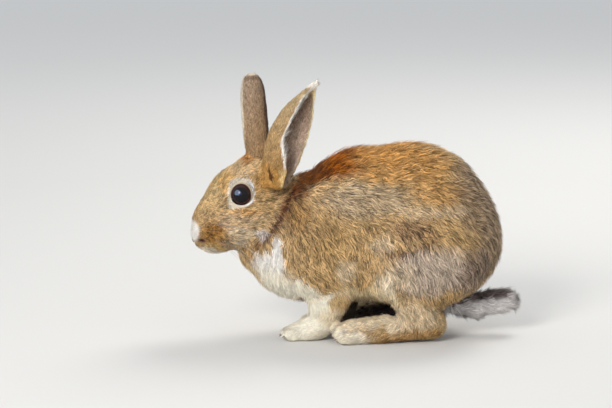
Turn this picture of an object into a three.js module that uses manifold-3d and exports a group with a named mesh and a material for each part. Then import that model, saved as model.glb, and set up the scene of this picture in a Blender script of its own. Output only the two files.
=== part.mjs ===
// A young brown rabbit crouching on all fours, life size, out to the surface of its coat.
// Millimetres. It faces -X, its left side is -Y, +Z is up and the floor is Z = 0. The finished group is
// moved so that its origin lies on the floor below the middle of its bounding box.
import * as THREE from "three";
import { mergeVertices } from "three/addons/utils/BufferGeometryUtils.js";
import Module from "manifold-3d";

const wasm = await Module();
wasm.setup();

// ---- Driving dimensions -------------------------------------------------------------------------------
const GAP = 0.3; // clearance wherever two pieces meet
const SLACK = 0.1; // facets this close to flat are joined
const FAR = 400; // larger than the animal, for cutting blocks

const RUMP_HALF_WIDTH = 48;
const RIB_HALF_WIDTH = 38;
const CHEST_HALF_WIDTH = 31;
const NECK_HALF_WIDTH = 24;

const HEAD_CENTRE = new THREE.Vector3(-78, 0, 88.5);
const HEAD_PITCH = 28; // degrees, nose down
const HEAD_YAW = 8; // degrees, nose towards the left
const CHEEK_HALF_WIDTH = 22.5;
const EYE_RADIUS = 8;
const EYE_PLACE = [7, 13.5, 11.7]; // in the head's own frame, mirrored for the other eye

const EAR_THICKNESS = 2.4;

const FORELEG_OFFSET = 19; // from the middle of the body
const FAR_FOREPAW_BACK = 13; // the right forepaw is set this far behind the left
const HINDLEG_OFFSET = 30;

// ---- Soft forms: each gives the distance from a point to a surface, negative inside -------------------
const vector = (place) => new THREE.Vector3(...place);

function ellipsoid(centre, radii, tilt = 0) {
  const [c, s] = [Math.cos(THREE.MathUtils.degToRad(tilt)), Math.sin(THREE.MathUtils.degToRad(tilt))];
  const [rx, ry, rz] = radii;
  return (p) => {
    const [dx, dy, dz] = [p.x - centre[0], p.y - centre[1], p.z - centre[2]];
    const [ax, az] = [dx * c + dz * s, dz * c - dx * s];
    const near = Math.hypot(ax / rx, dy / ry, az / rz);
    const slope = Math.hypot(ax / rx ** 2, dy / ry ** 2, az / rz ** 2);
    return slope > 0 ? (near * (near - 1)) / slope : -Math.min(rx, ry, rz);
  };
}

function limb(from, to, startRadius, endRadius) {
  const start = vector(from);
  const along = vector(to).sub(start);
  return (p) => {
    const d = p.clone().sub(start);
    const t = THREE.MathUtils.clamp(d.dot(along) / along.lengthSq(), 0, 1);
    return d.addScaledVector(along, -t).length() - THREE.MathUtils.lerp(startRadius, endRadius, t);
  };
}

function melted(forms, blend) {
  return (p) =>
    forms.reduce((joined, form) => {
      const next = form(p);
      const h = Math.max(blend - Math.abs(joined - next), 0) / blend;
      return Math.min(joined, next) - (h * h * blend) / 4;
    }, Infinity);
}

// The same form on both sides of the body, for pairs such as the cheeks.
const pair = (make) => [make(-1), make(1)];

// ---- Meshes and solids --------------------------------------------------------------------------------
function solidOf(geometry) {
  const bare = geometry.clone();
  for (const name of Object.keys(bare.attributes)) if (name !== "position") bare.deleteAttribute(name);
  const merged = mergeVertices(bare, 1e-3);
  const corners = merged.index.array;
  const kept = [];
  for (let i = 0; i < corners.length; i += 3) {
    const [a, b, c] = corners.subarray(i, i + 3);
    if (a !== b && b !== c && c !== a) kept.push(a, b, c);
  }
  const vertProperties = merged.attributes.position.array;
  return new wasm.Manifold(new wasm.Mesh({ numProp: 3, vertProperties, triVerts: new Uint32Array(kept) }));
}

function geometryOf(solid) {
  const { numProp, vertProperties, triVerts } = solid.getMesh();
  const position = new Float32Array((vertProperties.length / numProp) * 3);
  for (let i = 0; i < position.length / 3; i++) {
    position.set(vertProperties.subarray(i * numProp, i * numProp + 3), i * 3);
  }
  const geometry = new THREE.BufferGeometry();
  geometry.setAttribute("position", new THREE.BufferAttribute(position, 3));
  geometry.setIndex(new THREE.BufferAttribute(triVerts, 1));
  geometry.computeVertexNormals();
  return geometry;
}

// A capsule between two points inside a form, each of its vertices moved straight out to the form's surface.
// grown is how far outside the surface the mesh is laid.
function wrapped(form, from, to, detail, grown = 0) {
  const start = vector(from);
  const axis = vector(to).sub(start);
  const length = axis.length();
  const up = new THREE.Vector3(0, 1, 0);
  const turn = new THREE.Quaternion().setFromUnitVectors(up, axis.clone().normalize());
  const middle = start.clone().addScaledVector(axis, 0.5);
  const geometry = new THREE.CapsuleGeometry(1, length, detail.caps, detail.spokes, detail.rings);
  const position = geometry.attributes.position;
  for (let i = 0; i < position.count; i++) {
    const direction = new THREE.Vector3().fromBufferAttribute(position, i);
    const origin = new THREE.Vector3(0, THREE.MathUtils.clamp(direction.y, -length / 2, length / 2), 0);
    direction.sub(origin).normalize().applyQuaternion(turn);
    origin.applyQuaternion(turn).add(middle);
    let reach = 0;
    for (let step = 0; step < 60; step++) {
      reach -= 0.8 * (form(origin.clone().addScaledVector(direction, reach)) - grown);
    }
    origin.addScaledVector(direction, reach);
    position.setXYZ(i, origin.x, origin.y, origin.z);
  }
  return solidOf(geometry);
}

// Trimming a piece can leave scraps behind its neighbour, so only its largest body is kept.
function largest(solid) {
  return solid.decompose().reduce((best, piece) => (piece.volume() > best.volume() ? piece : best));
}

function ball(centre, radii, [around, down] = [14, 10]) {
  return solidOf(new THREE.SphereGeometry(1, around, down).scale(...radii).translate(...centre));
}

// Everything on the positive side of a plane through a point, as a block.
function beyond(point, normal, shift = 0) {
  const direction = vector(normal).normalize();
  const block = new THREE.BoxGeometry(FAR, FAR, FAR).translate(0, 0, FAR / 2 + shift);
  block.applyQuaternion(new THREE.Quaternion().setFromUnitVectors(new THREE.Vector3(0, 0, 1), direction));
  return solidOf(block.translate(...point));
}

const belowFloor = beyond([0, 0, 0], [0, 0, -1]);

// ---- Body: neck, trunk, shoulders and thighs as one surface, parted afterwards ------------------------
const bodyForm = melted(
  [
    ellipsoid([50, 0, 84], [46, 40, 51.5]), // loin and croup
    ellipsoid([62, 0, 68], [44.5, RUMP_HALF_WIDTH - 3, 45]), // rump
    ellipsoid([36, 0, 92], [22, 25, 44.5]), // arch of the back
    ellipsoid([10, 0, 87], [46, RIB_HALF_WIDTH, 47]), // ribs and withers
    ellipsoid([10, 0, 54], [46, RIB_HALF_WIDTH - 3, 30]), // belly
    ellipsoid([-36, 0, 55], [33, CHEST_HALF_WIDTH, 30]), // chest
    ellipsoid([-50, 0, 70], [27, NECK_HALF_WIDTH, 26]), // neck
    ellipsoid([-63, 0, 65], [18, NECK_HALF_WIDTH - 6, 18]), // throat
    ellipsoid([-31, 0, 92], [22, NECK_HALF_WIDTH, 22.5]), // nape
    ...pair((side) => ellipsoid([52, side * 27, 60], [36, RUMP_HALF_WIDTH - 27, 38])), // thigh
    ...pair((side) => ellipsoid([32, side * HINDLEG_OFFSET, 48], [18, 13, 18])), // knee
    ...pair((side) => ellipsoid([-20, side * 20, 56], [20, 14, 31])), // shoulder
  ],
  10,
);
const bodyDetail = { caps: 5, spokes: 26, rings: 8 };
const wrapBody = (grown) => wrapped(bodyForm, [-38, 0, 66], [62, 0, 72], bodyDetail, grown);
const body = wrapBody(0);
const bodyGrown = wrapBody(GAP);

// ---- Head, modelled level about its own centre and then turned ----------------------------------------
const headForm = melted(
  [
    ellipsoid([7, 0, 2], [30, 20, 29]), // skull
    ellipsoid([-14, 0, -1], [22, 13.5, 20.5]), // snout
    ellipsoid([-29, 0, -4], [9.5, 8.5, 9]), // nose
    ellipsoid([-22, 0, -14], [10, 7.5, 6.5]), // chin
    ...pair((side) => ellipsoid([4, side * 9, -9], [25, CHEEK_HALF_WIDTH - 9.5, 18.5])), // cheek
    ...pair((side) => ellipsoid([-26, side * 5.5, -8], [9, 6.5, 7.5])), // whisker pad
    ...pair((side) => ellipsoid([22, side * 10, 23], [10, 7, 8])), // base of the ear
  ],
  6,
);
const headDetail = { caps: 6, spokes: 26, rings: 5 };
const headTurn = new THREE.Matrix4()
  .makeRotationZ(THREE.MathUtils.degToRad(HEAD_YAW))
  .multiply(new THREE.Matrix4().makeRotationY(-THREE.MathUtils.degToRad(HEAD_PITCH)))
  .setPosition(HEAD_CENTRE);
const wrapHead = (grown) =>
  wrapped(headForm, [-20, 0, -5], [14, 0, -2], headDetail, grown).transform(headTurn.elements);
const headGrown = wrapHead(GAP);
const eyePlace = (side) => vector([EYE_PLACE[0], side * EYE_PLACE[1], EYE_PLACE[2]]).applyMatrix4(headTurn);
const eyeball = (side, grown) => {
  const radius = EYE_RADIUS + grown;
  return solidOf(new THREE.SphereGeometry(radius, 12, 8).translate(...eyePlace(side)));
};
const head = wrapHead(0).subtract(eyeball(-1, GAP)).subtract(eyeball(1, GAP));

// ---- Ears: a trough whose section is an arc of an ellipse, rolled round at the root and open higher up
const EAR_RINGS = 11;
const EAR_ARC_POINTS = 7;
const EAR_OPENS = [0.05, 0.5]; // the roll opens between these shares of the ear's length
const ROOT_DEPTH = 0.95; // of its half width
const THIN_TO = [0.6, 0.3]; // the wall's half thickness at root and tip, in ear thicknesses
const LEAST_RADIUS = 0.2;
// Half widths at places from root to tip.
const LEFT_WIDTHS = [
  [0, 10],
  [0.28, 14.6],
  [0.46, 14.9],
  [0.6, 13.3],
  [0.72, 10.2],
  [0.83, 6.7],
  [0.92, 3.9],
  [1, 1.2],
];
const RIGHT_WIDTHS = [
  [0, 8.5],
  [0.2, 9.3],
  [0.4, 9.6],
  [0.6, 9.8],
  [0.78, 9.4],
  [0.88, 8.6],
  [0.95, 6.8],
  [1, 3],
];

// The value of a table of [place, value] pairs at a place between its first and its last.
function lookup(table, place) {
  const next = Math.max(1, table.findIndex(([at]) => at >= place));
  const [[from, low], [to, high]] = [table[next - 1], table[next]];
  return THREE.MathUtils.lerp(low, high, THREE.MathUtils.smoothstep(place, from, to));
}

// across points to the ear's back edge and arc gives where its section starts and ends round the ellipse, in
// degrees from across: at the root, then at the middle and above.
function ear({ root, tip, bow, across, widths, depth, rootArc, arc }) {
  const [start, end] = [vector(root), vector(tip)];
  const spine = new THREE.QuadraticBezierCurve3(start, start.clone().lerp(end, 0.5).add(vector(bow)), end);
  const points = [];
  for (let ring = 0; ring <= EAR_RINGS; ring++) {
    const t = ring / EAR_RINGS;
    const along = spine.getTangent(t);
    const right = vector(across).projectOnPlane(along).normalize();
    const front = new THREE.Vector3().crossVectors(right, along);
    const open = THREE.MathUtils.smoothstep(t, ...EAR_OPENS);
    const half = lookup(widths, t);
    const from = THREE.MathUtils.lerp(rootArc[0], arc[0], open);
    const to = THREE.MathUtils.lerp(rootArc[1], arc[1], open);
    const flat = half * THREE.MathUtils.lerp(ROOT_DEPTH, depth, open);
    const thick = EAR_THICKNESS * THREE.MathUtils.lerp(...THIN_TO, t);
    for (let i = 0; i < 2 * EAR_ARC_POINTS; i++) {
      const outside = i < EAR_ARC_POINTS;
      const k = outside ? i : 2 * EAR_ARC_POINTS - 1 - i;
      const angle = THREE.MathUtils.degToRad(THREE.MathUtils.lerp(from, to, k / (EAR_ARC_POINTS - 1)));
      const grow = outside ? 0 : -2 * thick;
      const point = spine.getPoint(t);
      point.addScaledVector(right, Math.max(half + grow, LEAST_RADIUS) * Math.cos(angle));
      point.addScaledVector(front, Math.max(flat + grow, LEAST_RADIUS) * Math.sin(angle));
      points.push(point);
    }
  }
  return lofted(points, 2 * EAR_ARC_POINTS);
}

// A closed body from rings of points, each ring with the same count, with a fan over each end.
function lofted(points, count) {
  const rings = points.length / count;
  const middle = (first) =>
    points
      .slice(first, first + count)
      .reduce((sum, p) => sum.add(p), new THREE.Vector3())
      .divideScalar(count);
  const all = [...points, middle(0), middle(points.length - count)];
  const faces = [];
  for (let i = 0; i < count; i++) {
    const j = (i + 1) % count;
    for (let ring = 0; ring < rings - 1; ring++) {
      const [a, b] = [ring * count, (ring + 1) * count];
      faces.push(a + i, b + j, a + j, a + i, b + i, b + j);
    }
    const last = (rings - 1) * count;
    faces.push(points.length, i, j, points.length + 1, last + j, last + i);
  }
  return solidOf(new THREE.BufferGeometry().setFromPoints(all).setIndex(faces));
}

const ears = {
  left: ear({
    root: [-53, -10.5, 106],
    tip: [-21.7, -24, 184.5],
    bow: [-8, 1, 2],
    across: [1, 0, -0.35],
    widths: LEFT_WIDTHS,
    depth: 0.5,
    rootArc: [40, 350],
    arc: [104, 345],
  }),
  right: ear({
    root: [-62, 11, 111],
    tip: [-69, 16, 183.5],
    bow: [-2, 0, 0],
    across: [1, 0.1, 0],
    widths: RIGHT_WIDTHS,
    depth: 0.8,
    rootArc: [-40, 250],
    arc: [-20, 200],
  }),
};

// ---- Limbs, made on the given side: -1 is left --------------------------------------------------------
const limbDetail = { caps: 3, spokes: 12, rings: 3 };
const footDetail = { caps: 4, spokes: 12, rings: 4 };
const tailDetail = { caps: 3, spokes: 12, rings: 5 };
const TOES = [-1.5, -0.5, 0.5, 1.5]; // across the foot, in toe widths
const TOE_DETAIL = [6, 5];
const LIMB_TOP = { fore: 40, hind: 34 }; // above these heights a limb is hidden in the body's coat

const wristBack = (side) => (side > 0 ? FAR_FOREPAW_BACK : 0);

// A foot with its toes joined on, cut flat where it stands.
function foot(form, from, to, toes, grown) {
  const toeBalls = toes.map(({ centre, radii }) => ball(centre, radii.map((r) => r + grown), TOE_DETAIL));
  return wasm.Manifold.union([wrapped(form, from, to, footDetail, grown), ...toeBalls]).subtract(belowFloor);
}

function forepaw(side, grown) {
  const [x, y] = [wristBack(side), side * FORELEG_OFFSET];
  const form = melted(
    [
      ellipsoid([x - 20.5, y, 12], [10.5, 9.5, 11]), // wrist
      ellipsoid([x - 30, y, 6.5], [13, 9.5, 8.5]), // palm
    ],
    3,
  );
  const toes = TOES.map((across) => ({
    centre: [x - 42.5 + Math.abs(across) * 1.8, y + across * 4.3, 4.8],
    radii: [7.5, 2.9, 5.6],
  }));
  return foot(form, [x - 23, y, 9], [x - 34, y, 5], toes, grown);
}

function forearm(side, grown) {
  const [elbow, wrist] = [
    [-10, side * FORELEG_OFFSET, 42],
    [wristBack(side) - 18, side * FORELEG_OFFSET, 16],
  ];
  const lean = THREE.MathUtils.radToDeg(Math.atan2(wrist[0] - elbow[0], elbow[2] - wrist[2]));
  const centre = [(elbow[0] + wrist[0]) / 2, elbow[1], 29.5];
  return wrapped(ellipsoid(centre, [15, 11.5, 23.5], lean), elbow, wrist, limbDetail, grown);
}

function hindfoot(side, grown) {
  const [heel, instep, toe] = [
    [58, side * 24, 12],
    [8, side * 30, 7.5],
    [-6, side * 31, 7],
  ];
  const form = melted(
    [
      limb(heel, instep, 9.5, 9),
      ellipsoid([56, side * 25, 14], [11.5, 9, 11]), // heel
      ellipsoid([14, side * 29.5, 9], [22, 8.5, 9.5]), // arch of the instep
      ellipsoid([1, side * 30.5, 7.2], [12.5, 9.5, 9.6]), // ball of the foot
    ],
    3.5,
  );
  const toes = TOES.map((across) => ({
    centre: [toe[0] + Math.abs(across) * 2.2, toe[1] + across * 4.6, toe[2]],
    radii: [9, 3.1, 8],
  }));
  return foot(form, [56, side * 24.5, 9], [0, side * 30.5, 6.5], toes, grown);
}

function shank(side, grown) {
  const [knee, hock] = [
    [37, side * 29, 46],
    [50, side * 26, 16],
  ];
  return wrapped(limb(knee, hock, 16, 13), knee, hock, limbDetail, grown);
}

function tail(grown) {
  const form = melted(
    [
      limb([66, 0, 24], [86, 1, 20], 8, 7.2),
      limb([86, 1, 20], [107.4, 3, 22.6], 7.2, 8.4),
    ],
    6,
  );
  return wrapped(form, [72, 0, 23], [107, 3, 22.5], tailDetail, grown);
}

// ---- Parting the body ---------------------------------------------------------------------------------
const THIGH = { centre: [54, 44, 58], radii: [43, 26, 46] };
const SHOULDER = { centre: [-20, 38, 52], radii: [21, 22, 36] };

const region = (place, side, grown) =>
  ball([place.centre[0], side * place.centre[1], place.centre[2]], place.radii.map((r) => r + grown));

const NECK_PLANE = { point: [-50, 0, 78], normal: [-0.86, 0, 0.5] };
const footGrown = (side) => hindfoot(side, GAP).add(forepaw(side, GAP));
const aboveFeet = body.subtract(footGrown(-1)).subtract(footGrown(1));
const neck = aboveFeet.intersect(beyond(NECK_PLANE.point, NECK_PLANE.normal, GAP)).subtract(headGrown);
let trunk = aboveFeet.subtract(beyond(NECK_PLANE.point, NECK_PLANE.normal)).subtract(headGrown);
for (const side of [-1, 1]) {
  trunk = trunk.subtract(region(THIGH, side, GAP)).subtract(region(SHOULDER, side, GAP));
}

// ---- The animal ---------------------------------------------------------------------------------------
const COAT = { agouti: 0x9c7a52, rust: 0xa8703a, cream: 0xe2d3b4, ear: 0xb0906a, tail: 0x8f8578 };
const rabbit = new THREE.Group();

function add(name, solid, color, roughness = 0.9) {
  const material = new THREE.MeshStandardMaterial({ color, roughness, metalness: 0 });
  const mesh = new THREE.Mesh(geometryOf(largest(solid).simplify(SLACK)), material);
  mesh.name = name;
  rabbit.add(mesh);
}

add("head", head, COAT.agouti);
add("neck", neck, COAT.agouti);
add("trunk", trunk, COAT.rust);
add("tail", tail(0).subtract(bodyGrown), COAT.tail);
const armTop = beyond([0, 0, LIMB_TOP.fore], [0, 0, 1]);
const legTop = beyond([0, 0, LIMB_TOP.hind], [0, 0, 1]);
for (const [name, side] of [["left", -1], ["right", 1]]) {
  add(`eye_${name}`, eyeball(side, 0), 0x120c0a, 0.05);
  add(`ear_${name}`, ears[name].subtract(headGrown).subtract(bodyGrown), COAT.ear);
  add(`shoulder_${name}`, aboveFeet.intersect(region(SHOULDER, side, 0)), COAT.agouti);
  add(
    `forearm_${name}`,
    forearm(side, 0).subtract(bodyGrown).subtract(armTop).subtract(footGrown(side)),
    COAT.cream,
  );
  add(`forepaw_${name}`, forepaw(side, 0).subtract(hindfoot(side, GAP)), COAT.cream);
  add(`thigh_${name}`, aboveFeet.intersect(region(THIGH, side, 0)), COAT.agouti);
  add(
    `shank_${name}`,
    shank(side, 0).subtract(bodyGrown).subtract(legTop).subtract(hindfoot(side, GAP)),
    COAT.agouti,
  );
  add(`hindfoot_${name}`, hindfoot(side, 0), COAT.cream);
}

const box = new THREE.Box3().setFromObject(rabbit);
const middle = box.getCenter(new THREE.Vector3());
rabbit.position.set(-middle.x, -middle.y, -box.min.z);

export default rabbit;
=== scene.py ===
"""Looks of the crouching rabbit: one skin with its lids, a coat of mesh tufts, eyes, whiskers and claws."""

import math
from collections import namedtuple

import bmesh
import bpy
import numpy as np
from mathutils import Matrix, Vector, bvhtree, kdtree

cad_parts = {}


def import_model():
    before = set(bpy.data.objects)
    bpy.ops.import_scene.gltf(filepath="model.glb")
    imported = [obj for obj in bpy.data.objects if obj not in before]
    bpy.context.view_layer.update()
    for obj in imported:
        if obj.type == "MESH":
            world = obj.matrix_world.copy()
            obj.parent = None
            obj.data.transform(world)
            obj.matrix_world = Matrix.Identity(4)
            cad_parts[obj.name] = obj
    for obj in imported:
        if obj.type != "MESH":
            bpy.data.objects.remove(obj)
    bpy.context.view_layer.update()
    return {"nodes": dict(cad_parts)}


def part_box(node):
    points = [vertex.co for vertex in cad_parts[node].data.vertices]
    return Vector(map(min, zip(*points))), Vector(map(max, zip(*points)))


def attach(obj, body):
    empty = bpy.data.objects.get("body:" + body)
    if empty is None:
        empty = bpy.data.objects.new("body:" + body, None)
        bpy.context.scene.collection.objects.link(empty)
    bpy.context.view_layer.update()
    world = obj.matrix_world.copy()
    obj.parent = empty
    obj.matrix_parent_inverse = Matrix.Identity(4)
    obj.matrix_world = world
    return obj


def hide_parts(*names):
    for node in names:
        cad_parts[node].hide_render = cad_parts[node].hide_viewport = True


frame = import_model()


def pair(kind):
    """The names of a kind's two nodes."""
    return f"{kind}_left", f"{kind}_right"


MM = 0.001
SEED = 11
UP = np.array([0, 0, 1.0])
EYES = pair("eye")
EARS = pair("ear")
FEET = pair("forepaw") + pair("hindfoot")
FLESH = sorted(name for name in frame["nodes"] if name not in EYES)

# The coat of each kind of part: how deep it stands and how long and wide a tuft is, all in mm, tufts per mm2,
# and which way it lies, where x runs from nose to tail and z is up.
Coat = namedtuple("Coat", "depth length width density lie")
COATS = {
    "head": Coat(1.4, 4.4, 0.42, 4.6, (1.0, 0.0, -0.15)),
    "neck": Coat(3.2, 9.0, 0.55, 3.6, (0.75, 0.0, -0.75)),
    "ear": Coat(0.4, 3.0, 0.38, 2.3, (0.2, 0.0, 1.0)),
    "trunk": Coat(4.4, 11.5, 0.6, 3.0, (1.0, 0.0, -0.45)),
    "shoulder": Coat(3.6, 9.5, 0.56, 3.4, (0.6, 0.0, -0.9)),
    "thigh": Coat(4.2, 11.0, 0.58, 3.1, (0.75, 0.0, -0.75)),
    "forearm": Coat(1.6, 6.5, 0.45, 3.2, (-0.1, 0.0, -1.0)),
    "forepaw": Coat(1.0, 4.0, 0.38, 3.6, (-1.0, 0.0, -0.35)),
    "shank": Coat(1.8, 7.5, 0.5, 2.8, (0.35, 0.0, -0.9)),
    "hindfoot": Coat(1.2, 4.8, 0.42, 2.7, (-1.0, 0.0, -0.25)),
    "tail": Coat(2.8, 10.0, 0.5, 4.0, (1.0, 0.0, -0.05)),
}
# The pieces of the coat and the nodes that each covers. Head and back are cut up further by coat_groups.
PIECES = {
    "coat_head": ("head",),
    "coat_ears": EARS,
    "coat_neck": ("neck",),
    "coat_back": ("trunk",),
    "coat_shoulders": pair("shoulder"),
    "coat_forelegs": pair("forearm") + pair("forepaw"),
    "coat_thigh_left": ("thigh_left",),
    "coat_thigh_right": ("thigh_right",),
    "coat_hindlegs": pair("shank") + pair("hindfoot"),
    "coat_tail": ("tail",),
}


def kind_of(node):
    """The kind of part that a node is, without its side."""
    return node.split("_")[0]


def at(node, fx, fy, fz):
    """A place in a node's box, in fractions of its size from its lowest corner."""
    low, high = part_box(node)
    share = (fx, fy, fz)
    return np.array([low[i] + (high[i] - low[i]) * share[i] for i in range(3)])


def paint(red, green, blue):
    """The linear colour of an 8-bit sRGB one."""
    return np.array([(c / 255) ** 2.2 for c in (red, green, blue)])


def eased(x):
    """A smooth step from 0 to 1."""
    x = np.clip(x, 0, 1)
    return x * x * (3 - 2 * x)


def rising(x, start, width):
    """A smooth step up that begins at start and takes this width."""
    return eased((x - start) / width)


def falling(x, end, width):
    """A smooth step down over this width, at 0 from end on."""
    return eased((end - x) / width)


def bell(x, width):
    """From 1 at 0 down to 0 on both sides, falling off within this width."""
    return np.exp(-(x / width) ** 2)


def unit(v):
    return v / np.maximum(np.linalg.norm(v, axis=-1, keepdims=True), 1e-12)


def closeness(places, spot, reach):
    """From 1 at a spot down to 0, falling off within so many mm of it."""
    return bell(np.linalg.norm(places - spot, axis=1), reach * MM)


def ripple(points, size, seed):
    """Smooth seeded noise, mostly from -1 to 1, whose bumps are about size metres across."""
    rng = np.random.default_rng(seed)
    waves = unit(rng.normal(size=(9, 3))) * rng.uniform(0.6, 1.7, (9, 1)) * math.tau / size
    phase = rng.uniform(0, math.tau, 9)
    return np.sin(points @ waves.T + phase).sum(1) / 3


def placed(name, data):
    """A new object in the scene."""
    item = bpy.data.objects.new(name, data)
    bpy.context.scene.collection.objects.link(item)
    return item


def mesh_object(name, points, faces):
    """An object of triangles or quads, from arrays."""
    mesh = bpy.data.meshes.new(name)
    corners = faces.shape[1]
    mesh.vertices.add(len(points))
    mesh.vertices.foreach_set("co", points.astype(np.float32).ravel())
    mesh.loops.add(faces.size)
    mesh.loops.foreach_set("vertex_index", faces.astype(np.int32).ravel())
    mesh.polygons.add(len(faces))
    mesh.polygons.foreach_set("loop_start", np.arange(0, faces.size, corners, dtype=np.int32))
    mesh.update(calc_edges=True)
    mesh.shade_smooth()
    return placed(name, mesh)


def set_values(mesh, name, values, kind="FLOAT"):
    """Stores one number or colour for each vertex."""
    layer = mesh.attributes.new(name, kind, "POINT")
    if kind == "FLOAT_COLOR":
        values = np.column_stack([values, np.ones(len(values))])
    layer.data.foreach_set("color" if kind == "FLOAT_COLOR" else "value", values.astype(np.float32).ravel())


def vertex_places(mesh):
    """A mesh's vertices as an array."""
    co = np.empty(len(mesh.vertices) * 3, np.float32)
    mesh.vertices.foreach_get("co", co)
    return co.reshape(-1, 3).astype(float)


def normals_of(points, quads):
    """Vertex normals of a mesh of quads."""
    across = points[quads[:, 2]] - points[quads[:, 0]]
    along = points[quads[:, 3]] - points[quads[:, 1]]
    face = np.cross(across, along)
    total = np.zeros_like(points)
    for axis in range(3):
        total[:, axis] = np.bincount(
            quads.ravel(), np.repeat(face[:, axis], 4), minlength=len(points)
        )
    return unit(total)


# ---------------- skin
WELD = 1e-6
# How far the nodes are grown before they are merged, so that they join up. The skin gives it back afterwards.
GROW = {"ear": 0.55 * MM}
USUAL_GROWTH = 0.25 * MM
VOXEL = 1.15 * MM


def growth_of(kind):
    """How far the nodes of a kind are grown."""
    return GROW.get(kind, USUAL_GROWTH)


def welded_node(name):
    """A node's mesh as a bmesh, welded, so that its faces share corners."""
    bm = bmesh.new()
    bm.from_mesh(frame["nodes"][name].data)
    bmesh.ops.remove_doubles(bm, verts=bm.verts, dist=WELD)
    bmesh.ops.triangulate(bm, faces=bm.faces)
    bm.normal_update()
    return bm


def remeshed(mesh):
    """The points and even quads of one surface round all the closed surfaces of a mesh."""
    block = placed("flesh", mesh)
    remesh = block.modifiers.new("even", "REMESH")
    remesh.mode = "VOXEL"
    remesh.voxel_size = VOXEL
    depsgraph = bpy.context.evaluated_depsgraph_get()
    even = bpy.data.meshes.new_from_object(block.evaluated_get(depsgraph))
    points = vertex_places(even)
    quads = np.empty(len(even.loops), np.int32)
    even.loops.foreach_get("vertex_index", quads)
    bpy.data.objects.remove(block)
    bpy.data.meshes.remove(even)
    return points, quads.reshape(-1, 4)


def merged_flesh():
    """All flesh nodes in one mesh of even quads, a tree of their own faces, and the node of each face."""
    joined = bmesh.new()
    corners, faces, owners = [], [], []
    for index, name in enumerate(FLESH):
        bm = welded_node(name)
        start = len(corners)
        bm.verts.index_update()
        corners += [v.co.copy() for v in bm.verts]
        faces += [[start + v.index for v in f.verts] for f in bm.faces]
        owners += [index] * len(bm.faces)
        for v in bm.verts:
            v.co += v.normal * growth_of(kind_of(name))
        grown = bpy.data.meshes.new("grown")
        bm.to_mesh(grown)
        joined.from_mesh(grown)
        bpy.data.meshes.remove(grown)
        bm.free()
    mesh = bpy.data.meshes.new("flesh")
    joined.to_mesh(mesh)
    joined.free()
    return *remeshed(mesh), bvhtree.BVHTree.FromPolygons(corners, faces), np.array(owners)


def edges_of(quads):
    """Both ends of every side of every quad."""
    return np.vstack([quads[:, [0, 1]], quads[:, [1, 2]], quads[:, [2, 3]], quads[:, [3, 0]]])


def outer_part(points, quads):
    """Only the largest closed surface, without any closed pocket inside it."""
    group = np.arange(len(points))
    edges = edges_of(quads)
    while True:
        low = np.minimum(group[edges[:, 0]], group[edges[:, 1]])
        before = group.copy()
        np.minimum.at(group, edges[:, 0], low)
        np.minimum.at(group, edges[:, 1], low)
        group = group[group]
        if (group == before).all():
            break
    biggest = np.bincount(group).argmax()
    keep = group == biggest
    number = np.cumsum(keep) - 1
    return points[keep], number[quads[keep[quads[:, 0]]]]


MOST_NEIGHBOURS = 8


def neighbour_table(count, quads):
    """For each vertex its neighbours, filled up with the vertex itself."""
    pairs = edges_of(quads)
    pairs = np.unique(np.vstack([pairs, pairs[:, ::-1]]), axis=0)
    first = np.searchsorted(pairs[:, 0], np.arange(count))
    rank = np.arange(len(pairs)) - first[pairs[:, 0]]
    table = np.repeat(np.arange(count)[:, None], MOST_NEIGHBOURS, axis=1)
    inside = rank < MOST_NEIGHBOURS
    table[pairs[inside, 0], rank[inside]] = pairs[inside, 1]
    return table


def spread(values, rounds):
    """Values smoothed over the surface."""
    for _ in range(rounds):
        values = values[neighbours].mean(1) * 0.6 + values * 0.4
    return values


points, quads, tree, owners = merged_flesh()
points, quads = outer_part(points, quads)
neighbours = neighbour_table(len(points), quads)
nearest = np.array([tree.find_nearest(Vector(p))[2] for p in points])
label = owners[nearest]
kinds = [kind_of(name) for name in FLESH]
node_of = np.array(FLESH)[label]
kind_of_vertex = np.array(kinds)[label]
is_head = node_of == "head"


def by_label(of_kind):
    """One value for each vertex, from a table by kind of part."""
    return np.array([of_kind(kind) for kind in kinds])[label]


def by_kind(values, usual):
    """One value for each vertex, usual where a kind has none of its own, with soft borders."""
    return spread(by_label(lambda kind: values.get(kind, usual)), 6)


def coat_field(measure, rounds):
    """A measure of the coat at each vertex, with soft borders."""
    return spread(by_label(lambda kind: getattr(COATS[kind], measure)), rounds)


# Rounds of smoothing for each kind of part, for the ears' tips besides, and where the ears join the head.
ROUNDS = {"ear": 16, "forepaw": 7, "hindfoot": 7, "head": 22}
USUAL_ROUNDS = 30
TIP_ROUNDS = 14
MOST_ROUNDS = 220
EAR_ROOT = {"ear_left": (0.27, 0.25, 0.03), "ear_right": (0.40, 0.50, 0.04)}
EAR_ROOT_REACH = 15


def rounded_off(points):
    """The surface without its facets, put back to its size afterwards, with the ears' roots blended in."""
    rounds = by_label(lambda kind: ROUNDS.get(kind, USUAL_ROUNDS)).astype(float)
    for name in EARS:
        low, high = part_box(name)
        tip = rising((points[:, 2] - low[2]) / (high[2] - low[2]), 0.86, 0.1)
        rounds += (label == FLESH.index(name)) * tip * TIP_ROUNDS
        rounds += closeness(points, at(name, *EAR_ROOT[name]), EAR_ROOT_REACH) * (MOST_ROUNDS - rounds)
    flat = points
    for stage in range(MOST_ROUNDS):
        flat = np.where((rounds > stage)[:, None], spread(flat, 1), flat)
    ways = normals_of(flat, quads)
    loss = spread(((points - flat) * ways).sum(1), 30)
    return flat + ways * loss[:, None]


# The true outline out to the coat's tips, and its normals.
outer = rounded_off(points)
normals = normals_of(outer, quads)
outer = outer - normals * spread(by_label(growth_of), 4)[:, None]

depth = coat_field("depth", 40) * MM
length = coat_field("length", 40) * MM
width = coat_field("width", 25) * MM
density = coat_field("density", 10) / MM ** 2

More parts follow.
